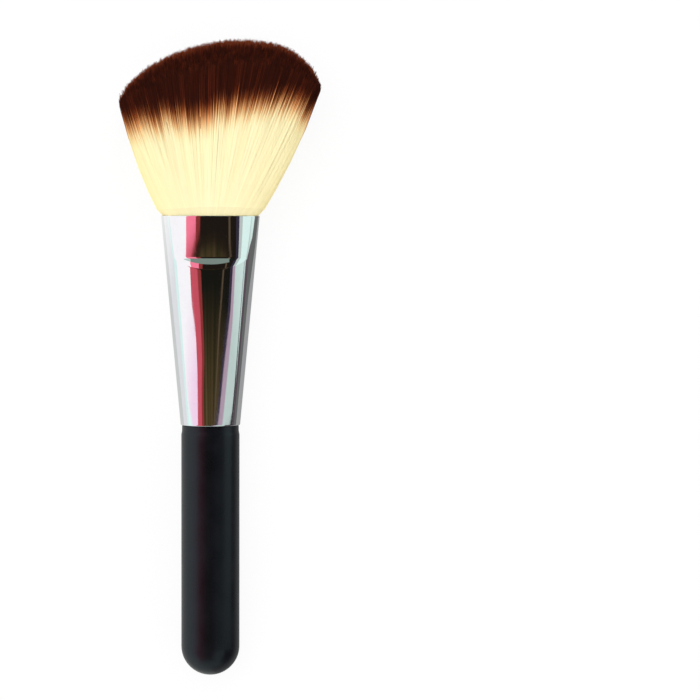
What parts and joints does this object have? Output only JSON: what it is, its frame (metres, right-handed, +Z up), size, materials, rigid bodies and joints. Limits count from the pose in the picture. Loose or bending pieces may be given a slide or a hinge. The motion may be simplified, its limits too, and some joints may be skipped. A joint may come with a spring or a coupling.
{
  "type": "angled kabuki brush",
  "caption": "Angled face powder brush lying on its back: black round handle, bright pressed ferrule, slanted fibre fan with brown tips.",
  "frame": {"origin": "on the table under the middle of the lying brush", "axes": "+Y along the brush towards its tips, +Z up out of the pressed front face of the ferrule, +X to the long right side of the fan"},
  "size_m": [0.0548, 0.1746, 0.0283],
  "materials": {
    "lacquered_wood": "satin black lacquer over turned wood",
    "plated_metal": "mirror-bright plated sheet",
    "fibre": "cream synthetic fibres dyed brown at the tips",
    "thread": "plain off-white thread",
    "resin": "clear amber setting resin"
  },
  "bodies": {
    "root": {"handle": "lacquered_wood", "ferrule": "plated_metal", "bristle_tuft": "fibre", "root_thread": "thread", "resin_plug": "resin"}
  },
  "joints": []
}
